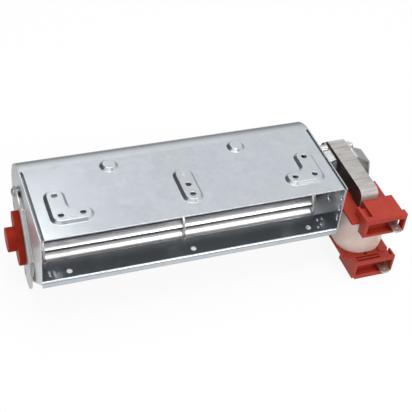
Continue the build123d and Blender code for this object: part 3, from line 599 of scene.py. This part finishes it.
# A square path with round corners is carried up the coil. Its corner centres are the clipped
# cos and sin of the turn, and its radius is corner + barrel * (1 - level to the fourth)
# + two sines as a ripple + a saw tooth of (turn + wound * height) as the laps - the free end's step
def makeTapeWrap(values):
    low, high = (np.array(corner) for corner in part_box("coil_tape"))
    middle = (low + high) / 2
    half = (high - low) / 2
    turn = np.linspace(0, 2 * np.pi, values["around"], endpoint=False)[None, :]
    level = np.linspace(-1, 1, values["levels"])[:, None]
    corner = values["corner"] * milli
    flat = half[0] - corner
    sideways = np.clip(np.cos(turn) * values["swing"], -1, 1)
    onward = np.clip(np.sin(turn) * values["swing"], -1, 1)
    sinceSeam = ((turn - values["seam"]) % (2 * np.pi)) / (2 * np.pi)
    first, second = (np.sin(around * turn + up * level + shift)
                     for around, up, shift in values["waves"])
    ripple = values["ripple"] * first * second
    wind = (turn / (2 * np.pi) + values["wound"] * level / 2) % 1
    edge = values["lapEdge"]
    lap = values["lap"] * np.minimum(wind / (1 - edge), (1 - wind) / edge)
    swell = (values["barrel"] * (1 - level ** 4) + ripple * (1 - level ** 2) + lap
             - values["step"] * sinceSeam)
    reach = corner + (swell - values["barrel"] * 0.5) * milli
    x = middle[0] + flat * sideways + reach * np.cos(turn)
    y = middle[1] + flat * onward + reach * np.sin(turn)
    z = middle[2] + half[2] * level + 0 * turn
    piece = makePiece("tape_wrap", [np.stack([x, y, z], axis=-1)], "coilTape",
                      sharp=50.0)
    addWall(piece, values["wall"], -1)
    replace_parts(piece, "coil_tape")


makeTapeWrap(tape)
print("tape")


# The bearing bridge: the fan axis in Y and Z, and the strap's turn about it in degrees
bridge = {"fanAxis": (22.5, -43.8), "angle": 44.0}


# Unit vectors along the strap and across it
def strapVectors():
    angle = np.radians(bridge["angle"])
    return (np.array((0, np.cos(angle), np.sin(angle))),
            np.array((0, -np.sin(angle), np.cos(angle))))


# Rivets of the bearing bridge, four in its feet and one at the strap's end. The seats are the
# X places under their heads, and the depths are where the outline steps in and out again
rivets = {"legPlace": 11.5, "across": 17.6, "endPlace": 29.2, "foot": 0.2,
          "small": {"seat": -97.4, "head": 0.8, "tail": 0.8, "radius": 1.7, "shank": 1.0,
                    "depths": (0, 1.8)},
          "large": {"seat": -101.2, "head": 1.8, "tail": 0.8, "radius": 3.0, "shank": 1.5,
                    "depths": (0, 1.0, 2.4, 3.2)},
          "domePoints": 9, "steps": 32}


# Half outline of a domed head: (height * cos, radius * sin) over a quarter turn, on a square foot
def domeProfile(start, height, radius):
    turn = np.linspace(0, np.pi / 2, rivets["domePoints"])
    foot = rivets["foot"]
    return np.column_stack([start + height * (foot + (1 - foot) * np.cos(turn)),
                            radius * np.sin(turn)])


# Half outline of a rivet: the head's dome, the steps of its shank, and the tail's dome
def rivetProfile(values):
    depths = np.array(values["depths"])
    radius, shank = values["radius"], values["shank"]
    steps = np.tile([radius, shank, shank, radius], len(depths) // 2)
    return np.vstack([domeProfile(0, values["head"], radius),
                      np.column_stack([-np.repeat(depths, 2), steps]),
                      domeProfile(-depths[-1], -values["tail"], radius)[::-1]])


# Each rivet is its outline turned about X, at axis + u * along + v * across
def makeRivets(values):
    along, across = strapVectors()
    legs = [(u, v) for u in (-values["legPlace"], values["legPlace"])
            for v in (-values["across"], values["across"])]
    grids = []
    for rivet, places in ((values["small"], legs), (values["large"], [(values["endPlace"], 0)])):
        profile = rivetProfile(rivet) * milli
        axis = np.array((rivet["seat"], *bridge["fanAxis"]))
        grids += [turnProfile(profile, (axis + u * along + v * across) * milli, (-1, 0, 0),
                              values["steps"]) for u, v in places]
    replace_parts(makePiece("domed_rivets", grids, "zincPlate"), "bridge_rivets")


makeRivets(rivets)
print("rivets")


# Rolled flange along both straight sides of the strap, between and over its legs
flange = {"reach": 17.5, "halfWidth": 15.0, "top": -101.2, "foot": -97.5, "bend": 1.3,
          "flare": 1.2, "wall": 0.4, "bendPoints": 9, "rows": 36}


# A section in X and across is carried straight along the strap: a quarter bend of
# (1 - cos, sin) from the strap's edge, a wall, and a quarter bend of (1 - sin, 1 - cos) as a flare
def makeStrapFlange(values):
    along, across = strapVectors()
    centre = np.array((0, *bridge["fanAxis"]))
    quarter = np.linspace(0, np.pi / 2, values["bendPoints"])
    bend, flare = values["bend"], values["flare"]
    depth = np.concatenate([values["top"] + bend * (1 - np.cos(quarter)),
                            values["foot"] - flare * (1 - np.sin(quarter))])
    width = values["halfWidth"] + np.concatenate([bend * (np.sin(quarter) - 1),
                                                  flare * (1 - np.cos(quarter))])
    row = np.linspace(-values["reach"], values["reach"], values["rows"])[:, None, None]
    grids = [(centre + row * along + side * width[None, :, None] * across
              + depth[None, :, None] * np.array((1, 0, 0))) * milli for side in (-1, 1)]
    piece = makePiece("strap_flange", grids, "zincPlate", closed=False, sharp=50.0)
    addWall(piece, values["wall"], 0)


makeStrapFlange(flange)
print("strap flange")


# Threads on the free ends of the motor bolts, which lie above and below the fan axis
thread = {"radius": 1.93, "depth": 0.16, "pitch": 0.7, "length": 2.2, "offset": 10.6,
          "rise": 24.8, "tip": 1.45, "taper": 1.2, "cap": 0.02, "around": 36, "perTurn": 8}


# Radius + depth * a triangle wave of (x / pitch - turn), cut by a cone at the tip and closed
def makeThreads(values):
    axis = np.array(bridge["fanAxis"])
    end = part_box("motor_bolts")[1][0] / milli
    length = values["length"]
    rows = int(length / values["pitch"] * values["perTurn"])
    along = np.linspace(0, length, rows)[:, None]
    turn = np.linspace(0, 2 * np.pi, values["around"], endpoint=False)[None, :]
    wave = np.abs(2 * ((along / values["pitch"] - turn / (2 * np.pi)) % 1) - 1) - 0.5
    cone = values["tip"] + values["taper"] * (length - along)
    radius = np.minimum(values["radius"] + values["depth"] * wave, cone)
    radius = np.vstack([radius, np.zeros((1, values["around"]))])
    along = np.vstack([along, [[length + values["cap"]]]])
    grids = []
    for rise in (-values["rise"], values["rise"]):
        x = end - length + along + 0 * turn
        y = axis[0] + values["offset"] + radius * np.cos(turn)
        z = axis[1] + rise + radius * np.sin(turn)
        grids.append(np.stack([x, y, z], axis=-1) * milli)
    makePiece("bolt_threads", grids, "zincPlate", sharp=70.0)


makeThreads(thread)
print("threads")


# Pale floor at the object's lowest point and an even white surround, both seen white by the
# camera. Metal mirrors the floor less bright further from the object, and the surround less
# bright at the horizon and towards each shade's side

stage = {"floorColour": (0.93, 0.93, 0.93, 1), "floorWhite": 0.91, "floorGloss": 0.85,
         "reach": 3.0, "floorNear": 1.0, "floorFar": 0.20, "dimming": (0.12, 0.26),
         "worldColour": (0.97, 0.98, 1.0, 1), "worldFill": 0.55,
         "horizonLevel": 0.46, "horizonBand": (0.08, 0.48),
         "shades": [{"side": (-0.80, 0.55, 0.25), "edge": (0.60, 0.78), "level": 0.06},
                    {"side": (0.287, -0.58, 0.76), "edge": (0.91, 0.98), "level": 0.20},
                    {"side": (0.02, 0.99, 0.14), "edge": (0.86, 0.97), "level": 1.5}]}


# Level of the surround in gloss: it rises with height, times each shade's own level at its side
def glossLevel(tree, values):
    direction = addNode(tree, "TexCoord").outputs["Generated"]
    height = addNode(tree, "SeparateXYZ", {"Vector": direction}).outputs["Z"]
    level = spread(tree, height, values["horizonLevel"], 1.0, *values["horizonBand"])
    for shade in values["shades"]:
        towards = vectorNode(tree, "DOT_PRODUCT", direction, shade["side"])["Value"]
        dim = spread(tree, towards, 1.0, shade["level"], *shade["edge"])
        level = mathNode(tree, "MULTIPLY", level, dim)
    return level


def makeFloor(values):
    reach = values["reach"]
    corners = [(x, y, frameLow[2]) for x, y in ((-reach, -reach), (reach, -reach),
                                                (reach, reach), (-reach, reach))]
    mesh = bpy.data.meshes.new("floor")
    mesh.from_pydata(corners, [], [(0, 1, 2, 3)])
    linkObject("floor", mesh)
    material = bpy.data.materials.new("paleFloor")
    material.use_nodes = True
    tree = material.node_tree
    tree.nodes.clear()
    rays = addNode(tree, "LightPath").outputs
    seen = mathNode(tree, "MULTIPLY", rays["Is Camera Ray"], values["floorWhite"])
    gloss = mathNode(tree, "MULTIPLY", rays["Is Glossy Ray"], values["floorGloss"])
    share = mathNode(tree, "ADD", seen, gloss)
    away = vectorNode(tree, "LENGTH", addNode(tree, "TexCoord").outputs["Object"])["Value"]
    mirrored = spread(tree, away, values["floorNear"], values["floorFar"], *values["dimming"])
    level = mathNode(tree, "MAXIMUM", rays["Is Camera Ray"], mirrored)
    matt = addNode(tree, "BsdfDiffuse", {"Color": values["floorColour"]})
    glow = addNode(tree, "Emission", {"Strength": level})
    both = addNode(tree, "MixShader", {0: share, 1: matt.outputs[0], 2: glow.outputs[0]})
    addNode(tree, "OutputMaterial", {"Surface": both.outputs[0]})
    mesh.materials.append(material)


def makeSurround(values):
    world = bpy.data.worlds.new("surround")
    bpy.context.scene.world = world
    world.use_nodes = True
    tree = world.node_tree
    tree.nodes.clear()
    rays = addNode(tree, "LightPath").outputs
    plain = mathNode(tree, "MAXIMUM", rays["Is Camera Ray"], rays["Is Transmission Ray"])
    seen = mathNode(tree, "MAXIMUM", plain, rays["Is Glossy Ray"])
    level = mathNode(tree, "MAXIMUM", plain, glossLevel(tree, values))
    fill = addNode(tree, "Background", {"Color": values["worldColour"],
                                        "Strength": values["worldFill"]})
    white = addNode(tree, "Background", {"Color": (1, 1, 1, 1), "Strength": level})
    mix = addNode(tree, "MixShader", {0: seen, 1: fill.outputs[0], 2: white.outputs[0]})
    addNode(tree, "OutputWorld", {"Surface": mix.outputs[0]})


makeFloor(stage)
makeSurround(stage)
print("stage")
